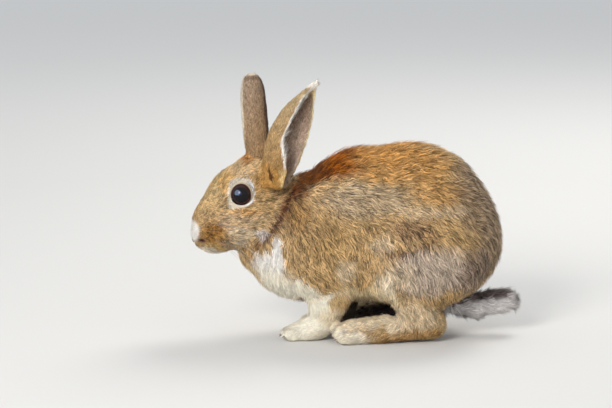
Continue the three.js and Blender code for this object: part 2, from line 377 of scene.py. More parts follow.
# ---------------- the head's own frame
EYE_CENTRE = {name: at(name, 0.5, 0.5, 0.5) for name in EYES}
EYE_RADIUS = (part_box("eye_left")[1][2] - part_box("eye_left")[0][2]) / 2
BROW = (EYE_CENTRE["eye_left"] + EYE_CENTRE["eye_right"]) / 2
SIDEWAYS = unit(EYE_CENTRE["eye_right"] - EYE_CENTRE["eye_left"])
AHEAD = unit(np.cross(UP, SIDEWAYS))
NOSE = at("head", 0.0, 0.37, 0.30)
GAZE = {
    name: unit(AHEAD * 0.22 + SIDEWAYS * sign + np.array([0, 0, 0.08]))
    for name, sign in zip(EYES, (-1, 1))
}


def other_side(place, head):
    """The same place on the rabbit's right: the head has turned, so it has a middle of its own."""
    if head:
        return place - 2 * ((place - BROW) @ SIDEWAYS) * SIDEWAYS
    return place * np.array([1, -1, 1])


def both_sides(place, head=False):
    """A place on the rabbit's left and the same place on its right."""
    return place, other_side(place, head)


def share_of(*members):
    """How far each vertex belongs to these kinds of part, with soft borders."""
    return spread(np.isin(kind_of_vertex, members).astype(float), 8)


# An ear: its vertices, their height from root to tip, how far the surface turns inwards, the mm to its front
# and back margins, the way across its opening from the front margin, and how far across each vertex is.
Ear = namedtuple("Ear", "here height inward to_front to_back across abeam")
EAR_STEPS = 16


def ear_fields(node):
    """The shape of an ear: a leaf rolled round an opening, with a free margin on each side."""
    here = np.flatnonzero(node_of == node)
    places = outer[here]
    low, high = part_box(node)
    height = np.clip((places[:, 2] - low[2]) / (high[2] - low[2]), 0, 1)
    step = np.minimum((height * EAR_STEPS).astype(int), EAR_STEPS - 1)
    at_step = (np.arange(EAR_STEPS) + 0.5) / EAR_STEPS

    def along(rows):
        return np.column_stack([np.interp(height, at_step, np.array(rows)[:, i]) for i in range(3)])

    off = places - along([places[step == i].mean(0) for i in range(EAR_STEPS)])
    off[:, 2] = 0
    inward = -(normals[here] * unit(off)).sum(1)
    opening = normals[here][inward > 0.5].mean(0) * np.array([1, 1, 0])
    opening = unit(opening)
    across = np.cross(opening, UP)
    across *= np.sign(across[0])
    far = []
    for side in (-1, 1):
        reach = places @ (opening + 0.7 * side * across)
        rim = along([
            places[step == i][np.argsort(reach[step == i])[-6:]].mean(0) for i in range(EAR_STEPS)
        ])
        far.append(np.linalg.norm((places - rim)[:, :2], axis=1) / MM)
    abeam = off @ across
    widest = np.interp(height, at_step, [np.abs(abeam[step == i]).max() for i in range(EAR_STEPS)])
    return Ear(here, height, inward, far[0], far[1], across, abeam / widest)


EAR = {node: ear_fields(node) for node in EARS}


def fringe_of(ear):
    """How near each vertex of an ear is to the long white hairs along its front margin."""
    return bell(ear.to_front, 2.6) * rising(ear.height, 0.2, 0.15)


# ---------------- lie of the coat
def along_skin(ways):
    """Directions turned into the skin's own plane."""
    return unit(ways - normals * (ways * normals).sum(1, keepdims=True))


def lie_of_trunk():
    """Backwards on top, more and more downwards over the sides, and a little forwards over the chest."""
    low, high = at("trunk", 0, 0, 0), at("trunk", 1, 1, 1)
    share = (outer - low) / (high - low)
    fall = falling(share[:, 2], 0.95, 0.85)
    front = falling(share[:, 0], 0.42, 0.3)
    fallen = np.column_stack([1 - 0.75 * fall, 0 * fall, -0.06 - 1.3 * fall])
    return fallen + front[:, None] * fall[:, None] * np.array([-0.25, 0, -0.5])


def lie_of_coat():
    """Which way the hair lies at each vertex, along the surface."""
    lie = by_label(lambda kind: COATS[kind].lie).astype(float)
    lie[is_head] = (unit(outer - NOSE) + np.array([0.3, 0, -0.1]))[is_head]
    for node in EARS:
        ear = EAR[node]
        places = outer[ear.here]
        root, tip = places[ear.height < 0.1].mean(0), places[ear.height > 0.94].mean(0)
        lie[ear.here] = unit(tip - root)
    trunk = np.isin(node_of, ("trunk", "neck"))
    lie[trunk] = lie_of_trunk()[trunk]
    thigh = kind_of_vertex == "thigh"
    lower = falling(outer[:, 2], at("thigh_left", 0, 0, 0.75)[2], 0.04)
    lie[thigh] += (lower[:, None] * np.array([-0.45, 0, -0.35]))[thigh]
    for _ in range(30):
        lie = along_skin(spread(lie, 2))
    for name in EYES:
        away = outer - EYE_CENTRE[name]
        far = np.linalg.norm(away, axis=1)
        away -= np.outer(away @ GAZE[name], GAZE[name])
        near = closeness(away, 0, 9) * (far < 17 * MM)
        lie = lie + unit(away) * near[:, None] * 1.8
    for node in EARS:
        ear = EAR[node]
        lie[ear.here] += (fringe_of(ear) * 0.9)[:, None] * ear.across
    return along_skin(lie)


lie = lie_of_coat()
near_nose = np.linalg.norm(outer - NOSE, axis=1)
face = np.where(is_head, 0.45 + 0.55 * rising(near_nose, 6 * MM, 34 * MM), 1.0)
face = spread(face, 6)
depth *= face
length *= face
# How closely the tufts hug the skin, how much further they stand, and how much they turn from the lie.
hug = by_kind({"tail": 0.15, "ear": 0.5}, 0.85)
fluff = by_kind({"tail": 1.25}, 1.0)
unrest = by_kind({"ear": 0.25, "head": 0.8, "tail": 0.9}, 1.0)
for ear in EAR.values():
    tip = rising(ear.height, 0.9, 0.08)
    fringe = fringe_of(ear) * (1 - tip)
    depth[ear.here] *= 1 - 0.5 * tip
    fluff[ear.here] += 1.5 * tip
    unrest[ear.here] += 0.5 * fringe
    length[ear.here] *= (1 + 1.3 * fringe) * (1 - 0.7 * tip)
    density[ear.here] *= 1 + 1.4 * fringe
    hug[ear.here] *= 1 - 0.8 * fringe
tuft_at_ear = closeness(outer, at("head", 0.57, 0.63, 0.97), 6)
length *= 1 + 0.7 * tuft_at_ear
hug *= 1 - 0.6 * tuft_at_ear
for spot in both_sides(at("shank_left", 0.08, 0.35, 0.35)):
    brim = closeness(outer, spot, 9)
    fluff += 1.4 * brim
    length *= 1 + 0.5 * brim
    hug *= 1 - 0.7 * brim

# ---------------- lids
LID_TURNS = 72
# How far out from an eye's middle its side of the head can reach.
EYE_SIDE = 14 * MM


def lid_corner(turn, degrees):
    """How near each turn round the eye is to a corner of the lids."""
    return bell((turn - math.radians(degrees) + math.pi) % math.tau - math.pi, 0.3)


def lid_reach(turn):
    """How far the lids' edge is from the middle of the eye: round, with a corner low in front."""
    round_part = 6.5 + 0.55 * np.sin(turn) ** 2
    return (round_part + 2.4 * lid_corner(turn, 228) + 0.3 * lid_corner(turn, 335)) * MM


def eye_axes(name):
    """The axes of an eye's opening: backwards along the head, up, and out of the eye."""
    out = GAZE[name]
    over = unit(UP - out * out[2])
    back = np.cross(over, out) * (1 if name == "eye_left" else -1)
    if back[0] < 0:
        back = -back
    return back, over, out


def around_eye(places, name):
    """The turn round the eye, the distance from its middle line, and how far out each place is."""
    back, over, out = eye_axes(name)
    away = places - EYE_CENTRE[name]
    x, y = away @ back, away @ over
    return np.arctan2(y, x), np.hypot(x, y), away @ out


def ball_height(reach):
    """How far out the eyeball's surface is, at a distance from its middle line."""
    return np.sqrt(np.maximum(EYE_RADIUS ** 2 - reach ** 2, (0.36 * EYE_RADIUS) ** 2))


def eye_area(name):
    """Each vertex's turn round an eye, its mm beyond the lids' edge, and whether it is on the eye's side."""
    turn, reach, out = around_eye(outer, name)
    return turn, (reach - lid_reach(turn)) / MM, (out > 0) & (out < EYE_SIDE) & is_head


# Where no tufts grow, and how far each vertex is beyond the lids' edge, in mm, 8 at most.
bare = np.zeros(len(outer))
off_lids = np.full(len(outer), 8.0)
for name in EYES:
    turn, beyond, local = eye_area(name)
    bare = np.maximum(bare, (beyond < 0.9) & local)
    sunk = falling(beyond, 2.2, 1.2) * falling(np.sin(turn + 0.5), 0.3, 0.6) * local
    depth += spread(sunk.astype(float), 2) * 0.9 * MM
    off_lids = np.where(local, np.minimum(off_lids, beyond), off_lids)
clear = rising(off_lids, 0.5, 6)
length *= 0.4 + 0.6 * clear
depth *= 0.45 + 0.55 * clear

# ---------------- nose and mouth
NOSTRIL = at("head", 0.115, 0.17, 0.16)
CLEFT = at("head", 0.02, 0.40, 0.10)
NOSTRIL_SIZE = (3.0, 2.8, 1.5)
CLEFT_SIZE = (3.5, 0.9, 3.6)


def nearness(spot, size):
    """How near each vertex is to a spot on the head, whose size is along, across and up it in mm."""
    away = outer - spot
    along = np.column_stack([away @ AHEAD, away @ SIDEWAYS, away[:, 2]]) / (np.array(size) * MM)
    return np.exp(-(along ** 2).sum(1))


# How deep each dent is, in mm, and how near its middle the skin is bare.
for place, size, push, edge in ((NOSTRIL, NOSTRIL_SIZE, 1.4, 0.42), (CLEFT, CLEFT_SIZE, 0.8, 0.55)):
    for spot in both_sides(place, True):
        near = nearness(spot, size)
        depth += near * push * MM
        bare = np.maximum(bare, near > edge)
        length *= 1 - 0.55 * nearness(spot, (6, 6, 4.5))


def toe_clefts():
    """How near each vertex is to the clefts between the toes, on the front of a paw or a foot."""
    near = np.zeros(len(outer))
    for node in FEET:
        reach = 0.34 if kind_of(node) == "forepaw" else 0.2
        low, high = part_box(node)
        ahead = (outer[:, 0] - low[0]) / (high[0] - low[0])
        aside = (outer[:, 1] - low[1]) / MM
        wide = (high[1] - low[1]) / MM
        front = (node_of == node) * falling(ahead, reach, 0.12)
        for share in (0.27, 0.5, 0.73):
            spread_out = wide * (0.5 + (share - 0.5) * (1 - 0.3 * ahead / reach))
            near = np.maximum(near, front * bell(aside - spread_out, 0.9))
    return near


def back_waves():
    """Low waves of the loose skin across both sides of the back, 1 on a crest and -1 in a trough."""
    centre = at("trunk", 0.63, 0.12, 0.82)
    waves = np.zeros(len(outer))
    for spot in both_sides(centre):
        far = np.linalg.norm((outer - spot) / (np.array((28, 20, 18)) * MM), axis=1)
        lean = outer[:, 0] - centre[0] + 0.25 * (outer[:, 2] - centre[2])
        waves += falling(far, 1.25, 0.6) * np.cos(math.tau * (lean + 16.8 * MM) / (12.5 * MM))
    return waves


between_toes = toe_clefts()
back_wave = back_waves()
depth -= back_wave * 0.5 * MM
depth += between_toes * 1.3 * MM
length *= 1 - 0.3 * between_toes
# A fold runs along a line in a node's box (x and z shares) on both sides of the body: how far off the middle
# it starts, its width at both ends and its depth, all in mm, and how dark the painted shade along its bottom
# is.
Fold = namedtuple("Fold", "node line off wide narrow push dark")
FOLDS = (
    Fold("neck", ((0.74, 0.82), (0.69, 0.76), (0.64, 0.68), (0.58, 0.56), (0.51, 0.48), (0.42, 0.40),
                  (0.33, 0.34), (0.27, 0.31)), 6, 3.8, 1.7, 1.6, 1.0),
    Fold("thigh_left", ((0.15, 0.55), (0.37, 0.60), (0.60, 0.71)), 20, 2.6, 2.0, 1.8, 0.75),
)


def nearness_to_fold(fold):
    """How near each vertex is to the bottom of a fold."""
    here = outer[:, [0, 2]]
    line = np.array([at(fold.node, x, 0, z)[[0, 2]] for x, z in fold.line])
    near = np.zeros(len(outer))
    for index, (start, end) in enumerate(zip(line[:-1], line[1:])):
        way = end - start
        share = np.clip((here - start) @ way / (way @ way), 0, 1)
        off = np.linalg.norm(here - start - share[:, None] * way, axis=1)
        width = fold.wide + (fold.narrow - fold.wide) * (index + share) / (len(line) - 1)
        near = np.maximum(near, bell(off, width * MM))
    return near * (np.abs(outer[:, 1]) > fold.off * MM)


folded = [spread(nearness_to_fold(fold), 2) for fold in FOLDS]
for fold, near in zip(FOLDS, folded):
    depth += near * fold.push * MM
points = outer - normals * depth[:, None]
points = spread(points, 2)

# ---------------- markings
# Single hairs are paler than a coat, as they shade each other, but never paler than PALEST.
HAIR_GAIN = np.array((1.28, 1.31, 1.39))
PALEST = 0.97
BASE = (172, 140, 95)
RUST = (138, 76, 6)
ORANGE = (178, 132, 76)
GREY = (136, 117, 96)
SILVER = (166, 145, 114)
PALE = (198, 176, 142)
WHITE = (236, 231, 223)
CREAM = (243, 235, 214)
GOLD = (192, 163, 112)
# Painted shade: near black, for the shadow under the belly on the inner sides of the hind feet and shanks.
SHADE_UNDER_BELLY = (50, 38, 34)
COVERS = {
    "body": share_of("trunk", "neck", "shoulder", "thigh"),
    "legs": share_of("forearm", "forepaw", "shank", "hindfoot"),
    "head": share_of("head"),
    "tail": share_of("tail"),
    "all": np.ones(len(outer)),
}
# An oval patch on both sides of the body: its middle in shares of a node's box, its radii in mm, its colour,
# how strongly it covers, and how soft its edge is. Each is painted over those before it, and stays on its
# node's group of parts, except for the top marks.
Mark = namedtuple("Mark", "place radii colour strength soft", defaults=(0.6,))
MARKS = (
    ("trunk", (
        ((0.43, 0.04, 0.69), (30, 16, 12), SILVER, 0.75),
        ((0.34, 0.26, 0.92), (28, 24, 12), RUST, 1),
        ((0.24, 0.3, 0.84), (14, 20, 8), RUST, 0.9),
        ((0.58, 0.2, 0.9), (34, 26, 14), ORANGE, 0.9),
        ((0.55, 0.3, 0.96), (30, 26, 8), (186, 134, 72), 0.6),
        ((0.73, 0.1, 0.75), (18, 18, 9), ORANGE, 0.65),
        ((0.9, 0.3, 0.7), (22, 40, 30), GREY, 0.6),
        ((0.97, 0.35, 0.5), (14, 40, 40), (150, 128, 102), 0.7),
    )),
    ("thigh_left", (
        ((0.44, 0.22, 0.93), (26, 16, 4), PALE, 0.4, 0.8),
        ((0.72, 0.22, 0.93), (14, 16, 5), (180, 158, 128), 0.45),
        ((0.36, 0.16, 0.78), (17, 14, 7.5), (128, 98, 66), 0.7),
        ((0.09, 0.22, 0.64), (8, 12, 8), PALE, 0.6, 0.8),
        ((0.55, 0.05, 0.4), (30, 16, 18), (177, 160, 141), 0.85),
        ((0.95, 0.35, 0.35), (14, 20, 20), (136, 117, 101), 0.85),
        ((0.24, 0.12, 0.36), (12, 14, 9), (188, 166, 134), 0.7),
        ((0.12, 0.2, 0.14), (9, 16, 17), (220, 202, 170), 0.9),
    )),
    ("shoulder_left", (((0.89, 0.06, 0.42), (6, 12, 9), PALE, 0.75),)),
    ("trunk", (
        ((0.45, 0.15, 0.06), (34, 30, 12), (214, 192, 148), 0.85),
        ((0.45, 0.5, 0.02), (40, 24, 10), (214, 190, 146), 0.9),
    )),
    ("neck", (((0.82, 0.2, 0.62), (10, 16, 16), (134, 98, 50), 0.75),)),
    ("shoulder_left", (((0.45, 0.1, 0.85), (18, 14, 16), (152, 120, 72), 0.6),)),
    ("neck", (((1, 0.35, 0.98), (10, 13, 9), (100, 56, 16), 0.95),)),
    ("trunk", (
        ((0.105, 0.16, 0.375), (3.8, 12, 9), WHITE, 1, 0.4),
        ((0.07, 0.2, 0.29), (13, 16, 9), WHITE, 1, 0.3),
        ((0.11, 0.4, 0.15), (20, 26, 17), CREAM, 1),
        ((0.18, 0.14, 0.12), (15, 18, 9), CREAM, 1, 0.4),
        ((0.03, 0.5, 0.25), (16, 14, 24), (196, 166, 118), 0.9, 0.8),
    )),
    ("neck", (((0.18, 0.1, 0.22), (9, 12, 8), (162, 128, 82), 0.9),)),
    ("head", (
        ((0.45, 0.3, 0.92), (20, 16, 8), (194, 162, 118), 0.8),
        ((0.26, 0.3, 0.74), (10, 12, 12), GOLD, 0.9),
        ((0.18, 0.35, 0.6), (8, 10, 12), (190, 158, 108), 0.8),
        ((0.36, 0.18, 0.76), (6, 8, 8), (200, 154, 92), 0.7),
        ((0.78, 0.1, 0.57), (10, 10, 9), (172, 140, 96), 0.7),
        ((0.6, 0.02, 0.46), (11, 10, 2.6), (176, 130, 76), 0.8),
        ((0.45, 0.05, 0.36), (14, 10, 7), (178, 150, 114), 0.7),
        ((0.52, 0.05, 0.2), (11, 10, 8), (186, 166, 134), 0.8),
        ((0.7, 0.02, 0.38), (10, 9, 7), (170, 146, 112), 0.6),
        ((0.23, 0.12, 0.25), (9, 8, 8), (138, 94, 34), 0.9, 1.1),
        ((0.36, 0.05, 0.18), (8, 8, 4), (150, 112, 62), 0.6, 1.2),
        ((0.22, 0.17, 0.1), (8, 8, 3.4), (160, 130, 82), 0.85),
        ((0.2, 0.4, 0.02), (10, 10, 4), (216, 204, 182), 0.9),
        ((0.16, 0.2, 0.06), (7, 7, 2.4), (206, 192, 168), 0.8),
        ((0.03, 0.27, 0.25), (5, 7.5, 7.6), WHITE, 1, 0.55),
    )),
    ("forearm_left", (((0.3, 0.4, 0.4), (26, 24, 26), CREAM, 1),)),
    ("forepaw_left", (((0.45, 0.5, 0.4), (30, 18, 18), CREAM, 1),)),
    ("forearm_left", (((0.86, 0.3, 0.82), (13, 20, 17), (184, 150, 98), 0.95, 0.2),)),
    ("shank_left", (
        ((0.08, 0.4, 0.45), (8, 14, 16), (214, 194, 160), 0.9, 0.4),
        ((0.55, 0.2, 0.55), (18, 14, 16), (206, 184, 150), 0.65, 1),
    )),
    ("hindfoot_left", (
        ((0.22, 0.45, 0.7), (26, 18, 7), (214, 194, 160), 0.9),
        ((0.12, 0.4, 0.2), (20, 18, 7), (222, 210, 186), 0.9),
        ((0.72, 0.35, 0.22), (26, 18, 5), (168, 128, 78), 0.8),
        ((1, 0.4, 0.4), (5, 12, 8), (212, 182, 134), 0.8),
    )),
    # Painted shade under the belly: the inner sides of both hind feet and shanks are near black.
    ("hindfoot_right", (((0.4, 0, 0.6), (46, 9, 16), SHADE_UNDER_BELLY, 0.9, 0.4),)),
    ("shank_right", (((0.3, 0, 0.4), (30, 9, 18), SHADE_UNDER_BELLY, 0.9, 0.4),)),
    ("tail", (
        ((0.5, 0.5, 0.5), (60, 60, 60), (202, 195, 187), 1),
        ((0.58, 0.45, 1), (24, 10, 4.8), (98, 86, 83), 1, 0.5),
        ((0.28, 0.45, 0.78), (18, 13, 3.4), (102, 88, 84), 0.85, 0.5),
        ((1, 0.45, 0.6), (6, 12, 10), (190, 182, 174), 0.8, 0.8),
    )),
)
TOP_MARKS = (
    ("neck", (
        ((0.345, 0.07, 0.42), (4.6, 8, 5), (188, 178, 166), 0.9, 0.7),
        ((0.92, 0.28, 0.95), (8, 12, 5), (98, 58, 22), 0.9),
        # Painted shade on the neck under the overhanging root of the ear.
        ((0.81, 0.1, 0.87), (7, 12, 7), (80, 44, 14), 0.95, 0.8),
    )),
    ("ear_left", (
        ((0.1, 0.18, 0.12), (10, 10, 11), (172, 126, 66), 0.8),
        # Painted shade in the slit at the ear's root.
        ((0.14, 0.18, 0.16), (1.3, 9, 6), (70, 44, 22), 0.9),
        ((0.43, 0.19, 0.1), (4.6, 12, 9), (206, 174, 118), 0.95),
    )),
    ("head", (((0.57, 0.63, 0.97), (7, 7, 5), (168, 118, 66), 0.9),)),
)


def group_of(node):
    """The group of parts that a node's marks stay on."""
    legs = ("forearm", "forepaw", "shank", "hindfoot")
    return "legs" if kind_of(node) in legs else node if node in ("head", "tail") else "body"


def cover_of(places, centre, mark):
    """How far a mark's oval patch covers each place."""
    far = np.linalg.norm((places - centre) / (np.array(mark.radii) * MM), axis=1)
    return falling(far, 1 + mark.soft / 2, mark.soft)


def mix_in(colour, tint, *shares):
    """Moves the colours towards a tint, by shares that are numbers or have one value for each colour."""
    change = tint - colour
    for share in shares:
        change = change * (share[:, None] if np.ndim(share) else share)
    colour += change


def graded(share, low, high):
    """Colours from low to high."""
    return np.outer(1 - share, low) + np.outer(share, high)


def wavering(size, seed):
    """A smooth random shift of every vertex."""
    return np.column_stack([ripple(outer, size * MM, seed + i) for i in range(3)])


def painted():
    """The coat's colour at each vertex: painted shade in folds and toe clefts, painted light and shade on the
    back's waves.
    """
    colour = paint_ears(np.tile(paint(*BASE), (len(outer), 1)))
    wander = wavering(20, SEED) * 1.6 * MM
    wander += wavering(6, SEED + 5) * 0.8 * MM
    groups = [(group_of(node), node, marks) for node, marks in MARKS]
    groups += [("all", node, marks) for node, marks in TOP_MARKS]
    for group, node, marks in groups:
        head = group == "head"
        wandered = outer + wander * (0.35 if head else 1.0)
        for mark in (Mark(*row) for row in marks):
            for centre in both_sides(at(node, *mark.place), head):
                cover = mark.strength * cover_of(wandered, centre, mark) * COVERS[group]
                mix_in(colour, paint(*mark.colour), cover)
    for fold, near in zip(FOLDS, folded):
        # Painted shade along the bottom of each fold.
        mix_in(colour, paint(80, 44, 12), fold.dark, near)
    # Painted shade in the clefts between the toes.
    mix_in(colour, paint(150, 118, 82), 0.35, between_toes)
    # Painted light and shade on the back's waves: paler on the crests, darker in the troughs.
    colour *= 1 + 0.16 * back_wave[:, None]
    return colour


# The colours of an ear's back at its root and tip.
EAR_BACKS = {
    "ear_left": (paint(141, 102, 48), paint(173, 149, 110)),
    "ear_right": (paint(150, 118, 76), paint(144, 122, 100)),
}


def paint_right_back(tint, ear, inside):
    """The far ear's back, seen from its edge: painted shade along its back rim, pale in front, and a pale tip
    below a dark arc.
    """
    rim = (1 - inside) * rising(ear.height, 0.25, 0.2)
    # Painted shade along the back rim.
    mix_in(tint, paint(76, 56, 48), rim * rising(ear.abeam, 0.62, 0.22), 0.9)
    mix_in(tint, paint(214, 202, 180), rim * falling(ear.abeam, -0.84, 0.1), 0.8)
    mix_in(tint, paint(96, 74, 54), bell(ear.height - 0.945, 0.013) * (1 - inside), 0.6)
    mix_in(tint, paint(206, 192, 168), rising(ear.height, 0.97, 0.015), 0.8)


def paint_ears(colour):
    """Fawn backs, mauve-brown insides with pale lower hair, and a front fringe, white from a third up."""
    for node in EARS:
        ear = EAR[node]
        left = node == "ear_left"
        tint = graded(ear.height, *EAR_BACKS[node])
        inside = rising(ear.inward, -0.05, 0.4)
        mix_in(tint, graded(ear.height, paint(196, 170, 148), paint(80, 56, 28)), inside)
        up = rising(ear.height, 0.05, 0.1)
        if left:
            mix_in(tint, paint(206, 190, 146), bell(ear.to_back, 1.5) * up, 0.9)
        else:
            paint_right_back(tint, ear, inside)
        wide = (9.5 - 6.0 * ear.height) * inside + 1.2 * (1 - inside)
        fringe = falling(ear.to_front / wide, 1.3, 0.6) * up
        hair = graded(rising(ear.height, 0.12, 0.22), paint(190, 168, 126), paint(232, 226, 218))
        mix_in(tint, hair, fringe, 0.95)
        if left:
            mix_in(tint, paint(245, 238, 226), rising(ear.height, 0.88, 0.06) * 0.95)
        blend = spread((node_of == node).astype(float), 16)[ear.here][:, None]
        blend = eased((blend - 0.5) * 2.2)
        colour[ear.here] = colour[ear.here] * (1 - blend) + tint * blend
    return colour


def paint_face(colour):
    """The cream ring round each eye, and the nose's cleft and nostrils."""
    for name in EYES:
        turn, beyond, local = eye_area(name)
        wide = 2.4 + 2.2 * rising(np.sin(turn), 0.2, 0.6) - 0.4 * falling(np.sin(turn), -0.5, 0.4)
        wide += 1.2 * falling(np.cos(turn), -0.2, 0.6)
        cream = local * falling(beyond, wide + 0.6, 1.4)
        tint = paint(204, 191, 168) * np.ones((len(outer), 1))
        mix_in(tint, paint(214, 213, 210), rising(np.cos(turn), 0.2, 0.6))
        mix_in(colour, tint, cream, 0.95)
    # The nostrils' dark red is their skin and painted shade in their openings.
    for spot, size, tint in (
        (CLEFT, CLEFT_SIZE, paint(132, 92, 80)),
        (NOSTRIL, NOSTRIL_SIZE, paint(58, 26, 26)),
    ):
        for place in both_sides(spot, True):
            mix_in(colour, tint, np.minimum(nearness(place, size) * 1.6, 1))
    return colour


marking = paint_face(painted())
marking = marking * np.minimum(HAIR_GAIN, PALEST / marking.max(1, keepdims=True))

# Shares of tufts with a dark or a pale tip, and how strongly tufts differ.
MUZZLE = at("head", 0.22, 0.12, 0.26)
speckled = np.maximum(*(nearness(spot, (9, 8, 8)) for spot in both_sides(MUZZLE, True)))
HERRINGBONE = at("thigh_left", 0.37, 0.10, 0.72)
streaked = np.maximum(*(
    bell(np.linalg.norm((outer - spot) / MM / (15, 14, 9), axis=1), 1)
    for spot in both_sides(HERRINGBONE)
))
dark_ticks = 0.30 + 0.2 * speckled + 0.18 * streaked
pale_ticks = 0.28 - 0.1 * speckled + 0.14 * streaked
ticking = by_kind({"ear": 0.8, "forepaw": 0.5, "forearm": 0.7}, 1.45) + 0.4 * speckled
for ear in EAR.values():
    dark_ticks[ear.here] = 0.2
    pale_ticks[ear.here] = 0.2 + 0.2 * rising(ear.inward, 0.1, 0.4)


# ---------------- materials
def feed(tree, node, inputs):
    """Sets a node's inputs, by name or number, each to a value or to another node's output."""
    for key, value in inputs.items():
        if isinstance(value, bpy.types.NodeSocket):
            tree.links.new(value, node.inputs[key])
        else:
            node.inputs[key].default_value = value


def added(tree, kind, inputs=None, **settings):
    """A new node of a tree, with its settings and inputs."""
    node = tree.nodes.new("ShaderNode" + kind)
    for key, value in settings.items():
        setattr(node, key, value)
    feed(tree, node, inputs or {})
    return node


def finish_of(name, inputs):
    """A new material, its node tree and its Principled BSDF, with these of its inputs set."""
    material = bpy.data.materials.new(name)
    material.use_nodes = True
    tree = material.node_tree
    bsdf = tree.nodes["Principled BSDF"]
    feed(tree, bsdf, inputs)
    return material, tree, bsdf


def stored(tree, name, output="Fac"):
    """A value or colour that is stored with each vertex."""
    return added(tree, "Attribute", attribute_name=name).outputs[output]


def ramped(tree, factor, low, high, start=0.0, end=1.0):
    """A colour that turns from low to high between two values of the factor."""
    node = added(tree, "ValToRGB", {"Fac": factor})
    for stop, colour, place in zip(node.color_ramp.elements, (low, high), (start, end)):
        stop.color = (*colour, 1)
        stop.position = place
    return node.outputs["Color"]


def grained(tree, scale, least, most):
    """Fine noise on the object, and a factor from it."""
    place = added(tree, "TexCoord").outputs["Object"]
    noise = added(tree, "TexNoise", {"Vector": place, "Scale": scale}).outputs["Fac"]
    factor = added(tree, "MapRange", {"Value": noise, "To Min": least, "To Max": most})
    return noise, factor.outputs["Result"]


def product(tree, one, other):
    """Two values multiplied."""
    return added(tree, "Math", {0: one, 1: other}, operation="MULTIPLY").outputs[0]


def scaled(tree, colour, factor):
    """A colour times a factor."""
    return added(tree, "VectorMath", {0: colour, "Scale": factor}, operation="SCALE").outputs[0]


def coat_material(name, shade_root, rough, bump):
    """A coat's or skin's finish: the marking, darker at the hair's root (its own base, and painted shade deep
    in the coat), with dark and pale ticks.
    """
    inputs = {"Roughness": rough, "Specular IOR Level": 0.07, "Sheen Weight": 0.06}
    material, tree, bsdf = finish_of(name, inputs)
    noise, speckle = grained(tree, 420, 0.75, 1.25)
    shade = ramped(tree, stored(tree, "along"), (shade_root,) * 3, (1, 1, 1), 0.05, 0.65)
    tone = product(tree, product(tree, stored(tree, "tone"), speckle), shade)
    feed(tree, bsdf, {"Base Color": scaled(tree, stored(tree, "marking", "Color"), tone)})
    if bump:
        relief = added(tree, "Bump", {"Strength": bump, "Distance": 0.5 * MM, "Height": noise})
        feed(tree, bsdf, {"Normal": relief.outputs["Normal"]})
    return material


def eye_material():
    """A wet gloss, nearly black in the pupil and dark brown round it."""
    inputs = {"Roughness": 0.05, "IOR": 1.376, "Specular IOR Level": 0.36}
    material, tree, bsdf = finish_of("eye_gloss", inputs)
    colour = ramped(
        tree, stored(tree, "from_pupil"), (0.004, 0.003, 0.004), (0.034, 0.014, 0.012), 0.4, 0.52
    )
    feed(tree, bsdf, {"Base Color": colour})
    return material


def horn_material(name, root_colour, tip_colour):
    """Hair or horn whose colour turns from root to tip, with a fine streak."""
    material, tree, bsdf = finish_of(name, {"Roughness": 0.35})
    colour = ramped(tree, stored(tree, "along"), root_colour, tip_colour)
    _, speckle = grained(tree, 900, 0.8, 1.2)
    feed(tree, bsdf, {"Base Color": scaled(tree, colour, speckle)})
    return material


FUR = coat_material("fur", 0.85, 0.6, 0)
HIDE = coat_material("hide", 0.8, 0.7, 0.5)


# ---------------- coat
# A tuft's corners are the root, the middle's left, right and ridge, and the tip. These are its faces, and its
# corners' places in its patch of the UV map, which is PATCH wide.
TUFT_FACES = np.array([(0, 2, 1), (4, 1, 2), (0, 1, 3), (0, 3, 2), (4, 3, 1), (4, 2, 3)])
TUFT_SPOTS = np.array([(0, -0.5), (-0.4, 0), (0.4, 0), (0, 0.05), (0, 0.5)])
PATCH = 0.003
TUFT_CORNERS = len(TUFT_SPOTS)
# How far a tuft's normals lean to its sides, how deep its root is, in mm, how far along it its middle and its
# tip are placed, and how high the middle stands for a tip at 1.
ROUNDNESS = 0.5
ROOTED = 0.4
MIDDLE_AT = 0.45
TIP_AT = 0.95
MIDDLE_RISE = 0.72
# How many tufts share a clump, its reach in mm, and how far the middle follows the tip into it.
CLUMP = 14
CLUMP_REACH = 5
MIDDLE_PULL = 0.35
# The share of longer guard hairs, and how much higher they stand.
GUARD_SHARE = 0.12
GUARD_LIFT = 1.55
# How light a tuft's middle and tip are where it is dark-ticked, plain and pale-ticked.
MIDDLE_TONES = np.array((0.55, 1.0, 1.25))
TIP_TONES = np.array((0.16, 1.0, 1.75))
# Nothing stands lower than this.
LEAST_HEIGHT = 0.03 * MM


def tree_of(places):
    """A tree that finds the nearest of the places."""
    tree = kdtree.KDTree(len(places))
    for index, place in enumerate(places):
        tree.insert(place, index)
    tree.balance()
    return tree


def found(tree, places):
    """The number of the nearest place in the tree, for each of these places."""
    return np.array([tree.find(place)[1] for place in places])


SKIN_TREE = tree_of(points)


def unwrapped(name, part):
    """The part of the skin, unwrapped by itself: for each of its quads the four corners' UVs."""
    used, numbered = np.unique(part, return_inverse=True)
    piece = mesh_object(name, points[used], numbered.reshape(part.shape))
    bpy.ops.object.select_all(action="DESELECT")
    piece.select_set(True)
    bpy.context.view_layer.objects.active = piece
    piece.data.uv_layers.new(name="OFBake")
    bpy.ops.object.mode_set(mode="EDIT")
    bpy.ops.mesh.select_all(action="SELECT")
    bpy.ops.uv.smart_project(angle_limit=math.radians(75), island_margin=0.004)
    bpy.ops.object.mode_set(mode="OBJECT")
    uv = np.empty(len(piece.data.loops) * 2, np.float32)
    piece.data.uv_layers["OFBake"].data.foreach_get("uv", uv)
    mesh = piece.data
    bpy.data.objects.remove(piece)
    bpy.data.meshes.remove(mesh)
    return uv.reshape(-1, 4, 2)


